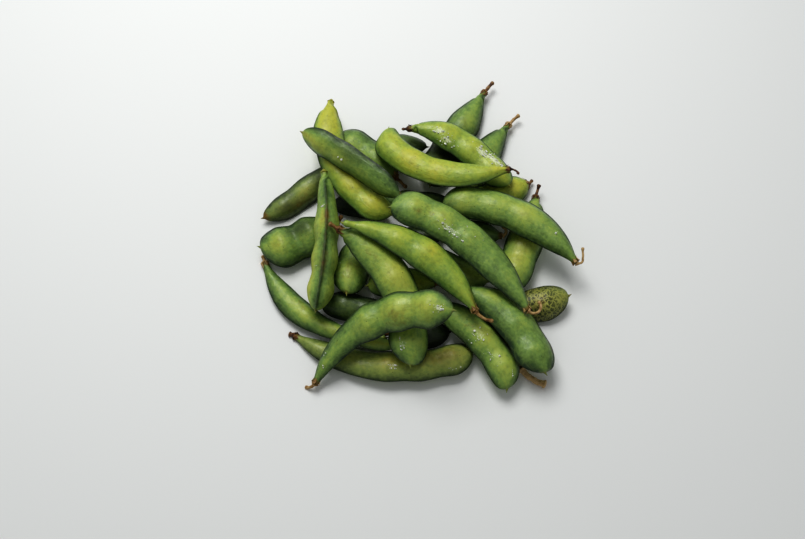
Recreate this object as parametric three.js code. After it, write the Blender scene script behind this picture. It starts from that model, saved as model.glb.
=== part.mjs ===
// Edamame pod bundle: a heap of boiled soybean pods, as they come to the table.
//
// Every pod is one solid: a short dry stalk with its withered calyx, a body that tapers from the stalk,
// swells over each bean, carries a raised seam along both edges, and closes to a small beak at one
// corner. The pods are laid one after another, from the surface upwards. Each is placed in plan by hand
// and then comes down, tipping as it lands, until it rests on the pods beneath it or on the surface.
//
// Millimetres, +Z up. The origin is on the surface, under the middle of the heap.

import * as THREE from 'three';

// ---------------------------------------------------------------- driving dimensions of a pod

const WIDTH = 14.6;            // seam to seam over the widest bean
const THICKNESS = 10.2;        // across the fattest bean
const DENT = 0.22;             // share of its thickness that a pod loses between two beans
const WAIST = 0.07;            // share of its width that it loses there
const BEAN_PITCH = 12.8;       // from the middle of one bean to the next
const BEAN_SPREAD = 4.7;       // how far a bean's swelling runs to each side of its middle
const LAST_BEAN = 8.8;         // from the last bean's middle to the round end
const ROUND_END = 9.5;         // length over which the round end closes
const TAPER = [0.42, 0.85];    // share of the body that tapers from the stalk, and the taper's power
const NECK_RADIUS = 1.3;       // where the body leaves the calyx
const SEAM_HEIGHT = 0.5;       // how far the seam stands out of the edge
const LENS = 1.2;              // above 1 draws the valves in towards the seams

const CLOSING = 2.2;           // power by which the round end closes: 2 is an ellipse, more is blunter
const NECK_FLATNESS = 0.8;     // least thickness against least width, next to the calyx
const SEAM_FADE = 4;           // the seam fades out where the body's half width is under this

const CORNER = 1.6;            // how far off the middle line the round end puts its beak
const BEAK_LENGTH = 1.4;
const BEAK_RADIUS = 0.7;
const BEAK_LEAN = 0.25;        // how much the beak leans to its corner, for each millimetre of it
const CALYX_RADIUS = 1.7;
const CALYX_FLATNESS = 0.85;
const STALK_RADIUS = 0.8;
const KNOB_RADIUS = 1.1;       // the scar where the stalk broke off the plant
const KNOB_CAP = 0.5;          // how far the scar bulges at its end

// ---------------------------------------------------------------- how a pod is meshed

const SIDES = 12;
const RINGS_PER_BEAN = 4;
const TAPER_RINGS = 5;
const STALK_RINGS = 3;
const TURN_PER_RING = 32;      // a curled stalk gets a ring for each of these degrees
const FIRST_RING = 1.2;        // from the calyx to the body's first ring
const LAST_RING = 0.9;         // from the body's last ring to its round end
const BEAK_GAP = 0.1;          // from the round end to the beak's ring

// ---------------------------------------------------------------- how the pods come to rest

const CELL = 0.5;              // pitch of the height maps
const CLEARANCE = 0.4;         // left between pods, upwards; sideways it is one cell
const PRESS = 0.55;            // how far a pod flattens where it lies on the surface
const REACH = 110;             // half the side of the square that the height map covers
const MOST_ROLL = 9;           // how far a pod may roll from the way it is laid, in degrees
const MOST_PITCH = 30;         // how steeply a pod may come to lie, in degrees
const FIRST_STEP = 0.2;        // slope that the search for the lowest place starts with,
const LAST_STEP = 0.001;       // and the slope at which it stops
const SETTLINGS = 5;           // times that a pod tips before it lies still
const EDGE_ON = 1e-6;          // a face with less than this area in plan stands upright
const LOWER = 1e-6;            // least drop that counts as coming lower

// ---------------------------------------------------------------- the greens of the pods

const LEAF_GREEN = '#648136';
const YELLOW_GREEN = '#93a23f';
const OLIVE_GREEN = '#6b7336';
const DARK_GREEN = '#4c5e2b';
const ROUGHNESS = 0.42;        // boiled, salted and still wet

// ---------------------------------------------------------------- the pods, from the surface upwards
// stem and tip  where the two ends of the body lie in plan
// bow           how far the body bows out to the left, seen from stem to tip
// width, beans  size of the body, and how many beans it holds
// roll          0 lies on its flat side, 90 stands on its seam
// stalk         [length, turn to the left, turn upwards]; the turns are in degrees
// and where a pod differs from the common shape
// lean          moves the bend towards the tip, as a share of the length
// sway          bends the body out of the plane of its seams
// taper         [share of the body that tapers from the stalk, power: below 1 makes the taper blunter]
// end           length over which the tip closes
// nose          power by which it narrows, where it is pointed and not round
// plump         thickness against that of a common pod of the same width
// dents         depth of the dents between its beans, against that of a common pod
// corner        how far to the left of the middle line the beak sits
// hook          share of the stalk, from the calyx, that takes up its turns
// stout         thickness of the stalk against that of a common pod

const PODS = [
  // on the surface, most of them half hidden
  { name: 'pod_rear_right_inner', colour: LEAF_GREEN, width: 14, beans: 3, roll: 0,
    stem: [29.4, 72.3], tip: [3, 26], bow: 0, stalk: [6, -12, 6], taper: [0.45, 1] },
  { name: 'pod_rear_right_outer', colour: LEAF_GREEN, width: 13, beans: 2, roll: -6,
    stem: [39.5, 55.7], tip: [18, 21], bow: -1, stalk: [6, -10, 10], taper: [0.55, 1] },
  { name: 'pod_rear_left_flat', colour: LEAF_GREEN, width: 14.5, beans: 2, roll: 0,
    stem: [-10, 28.5], tip: [-36.5, 49.2], bow: -1.3, stalk: [6, 0, 4], taper: [0.3, 0.7] },
  { name: 'pod_left_dark', colour: DARK_GREEN, width: 10.5, beans: 2, roll: -30,
    stem: [-33, 36], tip: [-64.5, 9], bow: 0.8, stalk: [1.6, 0, 0], end: 16, dents: 1.3, corner: -1.6 },
  { name: 'pod_left_front', colour: LEAF_GREEN, width: 10.5, beans: 3, roll: 6,
    stem: [-64, -9.5], tip: [-14, -44.5], bow: -9.5, stalk: [3, -10, 0], end: 44, nose: 1.4 },
  { name: 'pod_left_round', colour: LEAF_GREEN, width: 17, beans: 2, roll: 0,
    stem: [-33.8, 8.5], tip: [-65, -7], bow: 2, stalk: [1.5, 0, 0], corner: -2.5, dents: 2 },
  { name: 'pod_front_long', colour: OLIVE_GREEN, width: 12.5, beans: 3, roll: 0,
    stem: [-50, -41], tip: [20.5, -49.2], bow: -9.3, stalk: [2.4, 20, 0], taper: [0.45, 0.7], dents: 1.4 },
  { name: 'pod_right_small', colour: OLIVE_GREEN, width: 13.5, beans: 1, roll: 6,
    stem: [35, -30.5], tip: [59.3, -27.3], bow: 0, stalk: [1.5, 0, 0], end: 12 },
  { name: 'pod_right_rear_under', colour: YELLOW_GREEN, width: 12, beans: 2, roll: 0,
    stem: [46.5, 26.5], tip: [20, 14], bow: 0, stalk: [2.5, 20, 0], taper: [0.3, 0.5] },
  { name: 'pod_right_under', colour: LEAF_GREEN, width: 14.5, beans: 2, roll: 0,
    stem: [49, 19.7], tip: [34, -22.5], bow: 1.5, stalk: [5, -12, 20] },
  { name: 'pod_front_right_under', colour: OLIVE_GREEN, width: 10, beans: 1, roll: 0,
    stem: [39, -55], tip: [25, -27], bow: 0, stalk: [11, 42, 0], stout: 1.7 },
  { name: 'pod_core_low', colour: DARK_GREEN, width: 11, beans: 2, roll: 0,
    stem: [-8, -35.5], tip: [-39, -26.8], bow: 0, stalk: [2, 0, 0] },
  { name: 'pod_core_left', colour: DARK_GREEN, width: 14, beans: 2, roll: 0,
    stem: [-22.5, 3], tip: [-31.3, -26], bow: 0, stalk: [2, 0, 0] },
  { name: 'pod_core_front', colour: DARK_GREEN, width: 12, beans: 2, roll: 0,
    stem: [6, -19], tip: [-21.5, -20.4], bow: 0, stalk: [2, 0, 0] },
  { name: 'pod_core_middle', colour: DARK_GREEN, width: 12, beans: 2, roll: 0,
    stem: [-4, -5], tip: [26.5, -20.3], bow: 0, stalk: [2, 0, 0] },
  { name: 'pod_core_rear', colour: DARK_GREEN, width: 12, beans: 2, roll: 0,
    stem: [-15.5, 18], tip: [12.5, 14], bow: 0, stalk: [2, 0, 0] },
  { name: 'pod_core_dark', colour: DARK_GREEN, width: 10, beans: 1, roll: 0,
    stem: [-14.5, 13], tip: [-36.5, 18.8], bow: 0, stalk: [1.5, 0, 0] },
  { name: 'pod_core_right', colour: DARK_GREEN, width: 10, beans: 1, roll: 0,
    stem: [34, 1.5], tip: [12, 4.5], bow: 0, stalk: [5, 150, 10] },
  { name: 'pod_core_centre', colour: DARK_GREEN, width: 8, beans: 1, roll: 0,
    stem: [-12, 4], tip: [10, 0.6], bow: 0, stalk: [1.5, 0, 0] },
  { name: 'pod_core_small', colour: DARK_GREEN, width: 5.2, beans: 1, roll: 0,
    stem: [-28, -43.6], tip: [-9, -47.8], bow: 0, stalk: [1.5, 0, 0] },
  { name: 'pod_core_back', colour: DARK_GREEN, width: 9.5, beans: 1, roll: 0,
    stem: [-15.5, 46.5], tip: [2.5, 41], bow: 0, stalk: [1.5, 0, 0] },
  { name: 'pod_core_corner', colour: DARK_GREEN, width: 10, beans: 1, roll: 0,
    stem: [-12, -41.5], tip: [11.5, -41.5], bow: 0, stalk: [2, 0, 0] },

  // second layer
  { name: 'pod_rear_left_yellow', colour: YELLOW_GREEN, width: 13, beans: 3, roll: 0,
    stem: [-38.5, 62.8], tip: [-12.5, 7], bow: -10.2, stalk: [1, 0, 0], taper: [0.3, 0.66] },
  { name: 'pod_left_on_edge', colour: OLIVE_GREEN, width: 13.5, beans: 3, roll: 78,
    stem: [-38.4, 24], tip: [-42, -34.5], bow: 1, stalk: [1, 0, 0], sway: -2.5,
    plump: 1.15, taper: [0.42, 0.8] },
  { name: 'pod_centre_left', colour: LEAF_GREEN, width: 14.8, beans: 3, roll: 0,
    stem: [-33.2, -4.2], tip: [-5, -56], bow: 11, stalk: [4, 0, 10], taper: [0.32, 0.8] },
  { name: 'pod_front_right_inner', colour: LEAF_GREEN, width: 12.5, beans: 2, roll: 0,
    stem: [5.5, -31.5], tip: [34.5, -63.5], bow: 5, stalk: [2, 0, 0], corner: -2, taper: [0.3, 0.6] },
  { name: 'pod_front_right_outer', colour: LEAF_GREEN, width: 15.3, beans: 2, roll: 0,
    stem: [15, -26.5], tip: [45.5, -59], bow: 7.2, stalk: [2, 0, 0], lean: -0.08 },
  { name: 'pod_rear_salted', colour: YELLOW_GREEN, width: 13, beans: 3, roll: 0,
    stem: [-5, 46], tip: [35.5, 20.5], bow: 7, stalk: [2.2, 0, 0], lean: -0.15 },

  // on top
  { name: 'pod_left_crossing', colour: LEAF_GREEN, width: 11.3, beans: 2, roll: -60,
    stem: [-7.5, 11], tip: [-48.8, 41], bow: -1.5, stalk: [1.6, 0, 0], taper: [0.25, 0.85],
    end: 15, plump: 0.85, corner: 0 },
  { name: 'pod_centre', colour: YELLOW_GREEN, width: 14.3, beans: 3, roll: 0,
    stem: [21.3, -36.2], tip: [-31, -5.5], bow: -9, stalk: [7.5, 50, 5], end: 32, nose: 1.6, corner: -1.2 },
  { name: 'pod_right_top', colour: LEAF_GREEN, width: 14, beans: 3, roll: 0,
    stem: [61.6, -14.8], tip: [9, 12.8], bow: -8, stalk: [8, 145, 12], hook: 0.5, dents: 0.7 },
  { name: 'pod_top_centre', colour: LEAF_GREEN, width: 15.5, beans: 3, roll: 0,
    stem: [41.5, -35.5], tip: [-12.5, 5.2], bow: -8.5, stalk: [9, 170, 5], lean: 0.1 },
  { name: 'pod_front_top', colour: LEAF_GREEN, width: 14.4, beans: 3, roll: 0,
    stem: [-43.5, -63.5], tip: [13.5, -39.3], bow: 11.2, stalk: [5, -62, -20], taper: [0.7, 0.6],
    dents: 2.2, end: 12, corner: 0.5 },
  { name: 'pod_top_rear', colour: YELLOW_GREEN, width: 12.5, beans: 3, roll: 0,
    stem: [36.2, 23.2], tip: [-17.5, 46.3], bow: 10.8, stalk: [4.5, -75, 0], corner: -4.5, dents: 0.4 },
];

// ---------------------------------------------------------------- the shape of one pod

const radians = THREE.MathUtils.degToRad;
const clamp01 = (value) => Math.min(1, Math.max(0, value));

// The body's line from stalk to tip, in a frame whose X runs along the chord and starts at its middle.
function bodyLine(pod, chord) {
  return new THREE.QuadraticBezierCurve3(
    new THREE.Vector3(-chord / 2, 0, 0),
    new THREE.Vector3((pod.lean ?? 0) * chord, 2 * pod.bow, 2 * (pod.sway ?? 0)),
    new THREE.Vector3(chord / 2, 0, 0),
  );
}

function beanMiddles(pod, length) {
  return Array.from({ length: pod.beans }, (_, i) => length - LAST_BEAN - i * BEAN_PITCH).reverse();
}

// How far the round end has closed at a distance x from the calyx: 0 before it, 1 at its very end.
function intoEnd(pod, length, x) {
  const end = pod.end ?? ROUND_END;
  return clamp01((x - length + end) / end);
}

// Half the width and half the thickness of the body at a distance x from the calyx.
function section(pod, length, x) {
  const swells = beanMiddles(pod, length).map((middle) => Math.exp(-(((x - middle) / BEAN_SPREAD) ** 2)));
  const swell = Math.max(...swells);
  const dents = (pod.dents ?? 1) * (1 - swell);
  const [share, power] = pod.taper ?? TAPER;
  const taper = Math.sin((Math.PI / 2) * clamp01(x / (share * length))) ** power;
  const into = intoEnd(pod, length, x);
  const close = pod.nose ? 1 - into ** pod.nose : Math.sqrt(1 - into ** CLOSING);
  const half = (pod.width / 2) * (1 - WAIST * dents) * taper * close;
  const plump = (pod.plump ?? 1) * (pod.width / WIDTH);
  const thick = (THICKNESS / 2) * plump * Math.sqrt(taper) * close * (1 - DENT * dents);
  return { half: Math.max(half, NECK_RADIUS), thick: Math.max(thick, NECK_RADIUS * NECK_FLATNESS) };
}

// Distances from the calyx at which the body gets a ring: close together over the beans.
function bodyStations(pod, length) {
  const beans = beanMiddles(pod, length);
  const firstEdge = beans[0] - BEAN_PITCH / 2;
  const lastEdge = beans.at(-1) + BEAN_PITCH / 2;
  const tapering = firstEdge - FIRST_RING;
  const taper = Array.from({ length: TAPER_RINGS }, (_, i) => FIRST_RING + (tapering * i) / TAPER_RINGS);
  const steps = pod.beans * RINGS_PER_BEAN;
  const swelling = lastEdge - firstEdge;
  const swollen = Array.from({ length: steps + 1 }, (_, i) => firstEdge + (swelling * i) / steps);
  return [...taper, ...swollen, length - LAST_RING];
}

// A ring of the skin round a centre, with its seams to the left and right of the heading.
function ring(centre, heading, half, thick, seam = 0) {
  const aside = new THREE.Vector3(0, 0, 1).cross(heading).normalize();
  const over = new THREE.Vector3().crossVectors(heading, aside);
  return Array.from({ length: SIDES }, (_, i) => {
    const angle = (2 * Math.PI * i) / SIDES;
    const onSeam = i % (SIDES / 2) === 0;
    const out = half * Math.cos(angle) + (onSeam ? Math.sign(Math.cos(angle)) * seam : 0);
    const rise = thick * Math.sign(Math.sin(angle)) * Math.abs(Math.sin(angle)) ** (seam ? LENS : 1);
    return centre.clone().addScaledVector(aside, out).addScaledVector(over, onSeam ? 0 : rise);
  });
}

// The stalk's rings, from its broken end to the calyx.
function stalkRings(pod, start, tangent) {
  const [length, left, upwards] = pod.stalk;
  const heading = tangent.clone().negate();
  const rings = [ring(start, tangent, CALYX_RADIUS, CALYX_RADIUS * CALYX_FLATNESS)];
  const centre = start.clone();
  const sideways = new THREE.Vector3();
  const bends = Math.max(STALK_RINGS, Math.ceil(Math.abs(left) / TURN_PER_RING));
  const steps = Math.round(bends / (pod.hook ?? 1));
  for (let i = 1; i <= steps; i += 1) {
    if (i <= bends) {
      heading.applyAxisAngle(new THREE.Vector3(0, 0, 1), radians(left / bends));
      sideways.crossVectors(heading, new THREE.Vector3(0, 0, 1)).normalize();
      heading.applyAxisAngle(sideways, radians(upwards / bends));
    }
    centre.addScaledVector(heading, length / steps);
    const radius = (i === steps ? KNOB_RADIUS : STALK_RADIUS) * (pod.stout ?? 1);
    rings.push(ring(centre, heading.clone().negate(), radius, radius));
  }
  const end = centre.clone().addScaledVector(heading, KNOB_CAP);
  return { end, rings: rings.reverse() };
}

// The whole skin of a pod as one closed surface, in the pod's own frame.
function podGeometry(pod, chord) {
  const line = bodyLine(pod, chord);
  const length = line.getLength();
  const corner = pod.corner ?? CORNER;
  const stalk = stalkRings(pod, line.getPointAt(0), line.getTangentAt(0));
  const body = bodyStations(pod, length).map((x) => {
    const u = clamp01(x / length);
    const tangent = line.getTangentAt(u);
    const aside = new THREE.Vector3(-tangent.y, tangent.x, 0);
    const centre = line.getPointAt(u).addScaledVector(aside, corner * intoEnd(pod, length, x) ** 2);
    const { half, thick } = section(pod, length, x);
    return ring(centre, tangent, half, thick, SEAM_HEIGHT * clamp01(half / SEAM_FADE));
  });

  const tangent = line.getTangentAt(1);
  const aside = new THREE.Vector3(-tangent.y, tangent.x, 0);
  const root = line.getPointAt(1).addScaledVector(aside, corner);
  const beakHeading = tangent.clone().addScaledVector(aside, corner * BEAK_LEAN).normalize();
  const beak = ring(root.clone().addScaledVector(tangent, BEAK_GAP), beakHeading, BEAK_RADIUS, BEAK_RADIUS);
  const point = root.clone().addScaledVector(beakHeading, BEAK_LENGTH);
  return closedSkin(stalk.end, [...stalk.rings, ...body, beak], point);
}

// Joins rings into a closed surface between two end points.
function closedSkin(start, rings, end) {
  const positions = [start, ...rings.flat(), end];
  const at = (k, i) => 1 + k * SIDES + (i % SIDES);
  const last = positions.length - 1;
  const faces = [];
  for (let i = 0; i < SIDES; i += 1) {
    faces.push(0, at(0, i + 1), at(0, i));
    for (let k = 0; k + 1 < rings.length; k += 1) {
      faces.push(at(k, i), at(k, i + 1), at(k + 1, i + 1));
      faces.push(at(k, i), at(k + 1, i + 1), at(k + 1, i));
    }
    faces.push(last, at(rings.length - 1, i), at(rings.length - 1, i + 1));
  }
  const geometry = new THREE.BufferGeometry();
  const flat = positions.flatMap((p) => p.toArray());
  geometry.setAttribute('position', new THREE.Float32BufferAttribute(flat, 3));
  geometry.setIndex(faces);
  return geometry;
}

// ---------------------------------------------------------------- coming to rest

const COLUMNS = Math.ceil((2 * REACH) / CELL);
const cellOf = (value) => Math.floor((value + REACH) / CELL);
const middleOf = (cell) => (cell + 0.5) * CELL - REACH;

// Calls visit(column, row, z) for each cell whose middle lies under or over a face.
function eachCell(geometry, visit) {
  const p = geometry.getAttribute('position');
  const index = geometry.getIndex().array;
  const [a, b, c] = [new THREE.Vector3(), new THREE.Vector3(), new THREE.Vector3()];
  for (let f = 0; f < index.length; f += 3) {
    a.fromBufferAttribute(p, index[f]);
    b.fromBufferAttribute(p, index[f + 1]);
    c.fromBufferAttribute(p, index[f + 2]);
    const area = (b.x - a.x) * (c.y - a.y) - (c.x - a.x) * (b.y - a.y);
    if (Math.abs(area) < EDGE_ON) continue;
    const [x0, x1] = [Math.min(a.x, b.x, c.x), Math.max(a.x, b.x, c.x)];
    const [y0, y1] = [Math.min(a.y, b.y, c.y), Math.max(a.y, b.y, c.y)];
    for (let column = cellOf(x0); column <= cellOf(x1); column += 1) {
      const x = middleOf(column);
      for (let row = cellOf(y0); row <= cellOf(y1); row += 1) {
        const y = middleOf(row);
        const v = ((x - a.x) * (c.y - a.y) - (c.x - a.x) * (y - a.y)) / area;
        const w = ((b.x - a.x) * (y - a.y) - (x - a.x) * (b.y - a.y)) / area;
        if (v < 0 || w < 0 || v + w > 1) continue;
        visit(column, row, a.z + v * (b.z - a.z) + w * (c.z - a.z));
      }
    }
  }
}

// The heap's top so far. Each cell keeps the highest point of itself and its neighbours.
class Heap {
  constructor() {
    this.top = new Float32Array(COLUMNS * COLUMNS).fill(-PRESS - CLEARANCE);
  }

  add(geometry) {
    eachCell(geometry, (column, row, z) => {
      for (let i = -1; i <= 1; i += 1) {
        for (let j = -1; j <= 1; j += 1) {
          const cell = (column + i) * COLUMNS + row + j;
          if (z > this.top[cell]) this.top[cell] = z;
        }
      }
    });
  }

  // How far up each cell of the geometry's underside has to move to clear the heap.
  needs(geometry) {
    const under = new Map();
    eachCell(geometry, (column, row, z) => {
      const cell = column * COLUMNS + row;
      if (!(under.get(cell) <= z)) under.set(cell, z);
    });
    return [...under].map(([cell, z]) => ({
      x: middleOf(Math.floor(cell / COLUMNS)),
      y: middleOf(cell % COLUMNS),
      need: this.top[cell] + CLEARANCE - z,
    }));
  }
}

// Where a closed surface has its centre of mass.
function centreOfMass(geometry) {
  const p = geometry.getAttribute('position');
  const index = geometry.getIndex().array;
  const [a, b, c] = [new THREE.Vector3(), new THREE.Vector3(), new THREE.Vector3()];
  const centre = new THREE.Vector3();
  let total = 0;
  for (let f = 0; f < index.length; f += 3) {
    a.fromBufferAttribute(p, index[f]);
    b.fromBufferAttribute(p, index[f + 1]);
    c.fromBufferAttribute(p, index[f + 2]);
    const volume = a.dot(b.clone().cross(c)) / 6;
    centre.addScaledVector(a.add(b).add(c), volume / 4);
    total += volume;
  }
  return centre.divideScalar(total);
}

// The lowest that the pod's centre can lie, and the slopes that get it there: the highest need is a
// convex function of the two slopes, so stepping downhill with ever smaller steps finds its lowest point.
function lowest(needs, centre, heading, limits) {
  const along = needs.map((n) => (n.x - centre.x) * heading.x + (n.y - centre.y) * heading.y);
  const across = needs.map((n) => (n.y - centre.y) * heading.x - (n.x - centre.x) * heading.y);
  const lift = (pitch, roll) => {
    let most = -Infinity;
    for (let i = 0; i < needs.length; i += 1) {
      const value = needs[i].need - pitch * along[i] - roll * across[i];
      if (value > most) most = value;
    }
    return most;
  };
  let best = { pitch: 0, roll: 0, lift: lift(0, 0) };
  for (let step = FIRST_STEP; step > LAST_STEP; ) {
    let moved = false;
    for (const [p, r] of [[step, 0], [-step, 0], [0, step], [0, -step], [step, step], [-step, -step],
      [step, -step], [-step, step]]) {
      const pitch = THREE.MathUtils.clamp(best.pitch + p, ...limits.pitch);
      const roll = THREE.MathUtils.clamp(best.roll + r, ...limits.roll);
      const value = lift(pitch, roll);
      if (value < best.lift - LOWER) {
        best = { pitch, roll, lift: value };
        moved = true;
      }
    }
    if (!moved) step /= 2;
  }
  return best;
}

// Lays the pod in plan, lets it down on the heap, and gives its geometry where it came to rest.
function settle(pod, heap) {
  const from = new THREE.Vector2(...pod.stem);
  const to = new THREE.Vector2(...pod.tip);
  const heading = to.clone().sub(from);
  const chord = heading.length();
  heading.normalize();
  const middle = from.clone().add(to).multiplyScalar(0.5);
  const ahead = new THREE.Vector3(heading.x, heading.y, 0);
  const left = new THREE.Vector3(-heading.y, heading.x, 0);
  const own = podGeometry(pod, chord);
  const turn = new THREE.Quaternion()
    .setFromAxisAngle(new THREE.Vector3(0, 0, 1), heading.angle())
    .multiply(new THREE.Quaternion().setFromAxisAngle(new THREE.Vector3(1, 0, 0), radians(pod.roll)));
  const one = new THREE.Vector3(1, 1, 1);
  const place = (height) => own.clone().applyMatrix4(
    new THREE.Matrix4().compose(new THREE.Vector3(middle.x, middle.y, height), turn, one),
  );
  let [pitched, rolled] = [0, 0];
  for (let round = 0; round < SETTLINGS; round += 1) {
    const limits = {
      pitch: [-1, 1].map((side) => Math.tan(radians(side * MOST_PITCH - pitched))),
      roll: [-1, 1].map((side) => Math.tan(radians(side * MOST_ROLL - rolled))),
    };
    const tried = place(0);
    const best = lowest(heap.needs(tried), centreOfMass(tried), heading, limits);
    const [pitch, roll] = [Math.atan(best.pitch), Math.atan(best.roll)];
    turn.premultiply(new THREE.Quaternion().setFromAxisAngle(left, -pitch));
    turn.premultiply(new THREE.Quaternion().setFromAxisAngle(ahead, roll));
    pitched += THREE.MathUtils.radToDeg(pitch);
    rolled += THREE.MathUtils.radToDeg(roll);
  }
  const height = Math.max(...heap.needs(place(0)).map((n) => n.need));
  const rested = place(height);
  const p = rested.getAttribute('position');
  for (let i = 0; i < p.count; i += 1) p.setZ(i, Math.max(0, p.getZ(i)));
  return rested;
}

// ---------------------------------------------------------------- the heap

const bundle = new THREE.Group();
const heap = new Heap();
for (const pod of PODS) {
  const geometry = settle(pod, heap);
  heap.add(geometry);
  const material = new THREE.MeshStandardMaterial({ color: pod.colour, roughness: ROUGHNESS });
  const mesh = new THREE.Mesh(geometry, material);
  mesh.name = pod.name;
  bundle.add(mesh);
}

// The middle of the footprint goes to the origin.
const box = new THREE.Box3().setFromObject(bundle);
bundle.position.set(-(box.min.x + box.max.x) / 2, -(box.min.y + box.max.y) / 2, 0);

export default bundle;
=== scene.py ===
"""A heap of boiled, salted edamame pods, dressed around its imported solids.

Each pod gets a finer skin over the rings of its solid, with raised seams, a stalk, a withered calyx and
marks of its own, and salt grains lie on some of them. Lengths are in millimetres until a mesh is made.
A place on a pod is given by `at`, the distance from its calyx along its line, and by which way it lies
from that line: `left`, towards the seam on the left as one looks to the beak, and `up`, to the upper valve.
"""

import math
import random
from dataclasses import dataclass, field

import bpy
import numpy as np
from mathutils import Euler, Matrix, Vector, noise


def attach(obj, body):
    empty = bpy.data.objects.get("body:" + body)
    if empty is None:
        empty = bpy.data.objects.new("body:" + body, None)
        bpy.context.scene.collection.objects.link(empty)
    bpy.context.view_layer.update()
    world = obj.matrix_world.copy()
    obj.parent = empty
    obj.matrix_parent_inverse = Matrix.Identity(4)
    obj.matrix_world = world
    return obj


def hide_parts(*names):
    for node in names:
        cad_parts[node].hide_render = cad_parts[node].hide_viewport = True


MM = 0.001
UP = np.array([0.0, 0.0, 1.0])

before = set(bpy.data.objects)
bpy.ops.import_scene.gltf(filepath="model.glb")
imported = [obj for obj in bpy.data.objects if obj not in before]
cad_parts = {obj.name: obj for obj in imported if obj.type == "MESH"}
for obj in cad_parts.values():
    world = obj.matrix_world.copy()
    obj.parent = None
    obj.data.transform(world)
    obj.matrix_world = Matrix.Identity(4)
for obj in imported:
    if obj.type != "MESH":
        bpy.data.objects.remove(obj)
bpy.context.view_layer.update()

# ---------------------------------------------------------------- how the solids are built up

SOLID_SIDES = 12              # points in a ring of the solid
MERGE_DIGITS = 3              # decimals of a millimetre to which two points of a solid are the same
SEAM_HEIGHT = 0.5             # how far the seams stand out of the edges
SEAM_FADE = 4.0               # the seams fade out where the body's half width is under this
LAST_RING = 0.9               # from the solid's last full ring to its round end
CALYX_AT_LEAST = 1.5          # a ring wider than this from its middle, next to the stalk, is the calyx
BEAN_AT_LEAST = 0.6           # a swelling under this share of the thickest one is no bean
BEAN_SPREAD = 4.7             # how far a bean's swelling runs to each side of its middle

# ---------------------------------------------------------------- how fine the skins are

STEP = 0.62                   # between two rings of a body
ROUNDING = 4.5                # length of the end over which the rings come closer and closer
ROUNDING_RINGS = 13
BEAK_RINGS = 6
QUARTER = [0, 0.05, 0.1, 0.15, 0.21, 0.28, 0.37, 0.49, 0.63, 0.79, 0.96, 1.15, 1.36]  # radians from a seam
NECK_RADIUS = 1.3
LENS = 1.2                    # above 1 draws the valves in towards the seams
LENS_AT_BEAN = 0.12           # how much more they are drawn in over a bean
BEAK_RADIUS = 0.62
BEAK_START = 2.2              # the beak's skin starts this far before the body's round end
BEAK_TIP = 0.25               # share of its radius left at the point

# ---------------------------------------------------------------- each pod's looks


@dataclass
class Look:
    """How one pod is finished.

    A mark is (kind, share of the length from the calyx, share of the half width to the left, length, width,
    strength). Ripe marks turn the skin yellow, or greener where the strength is negative; a few are painted
    light, noted where they stand. Brown ones are bruises and scorched spots, and dark ones are partly dull
    mottling and partly painted shade. Salt ones are a dried film with grains on it. Grain ones are grains
    alone,
    as many as the strength says: partly real salt, partly white specks set where the wet skin would glint, as
    painted highlights. Net ones show pale veins on a browned skin."""

    slot: str                 # material slot of the record
    ripe: float               # 0 deep green, 0.5 leaf green, 0.75 yellow green, 1 straw
    marks: list = field(default_factory=list)
    shade: float = 0          # how much painted shade darkens it, for pods deep in the heap
    stalk: float = 1          # its thickness against a common one
    tone: float = 0           # above 0 its brown is paler, below 0 darker
    sepals: int = 5           # lobes of the calyx that are left
    green_stalk: bool = False
    seam: float = 1           # how dark its seam lines are, up to 1: their own deeper green with painted outline shade


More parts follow.
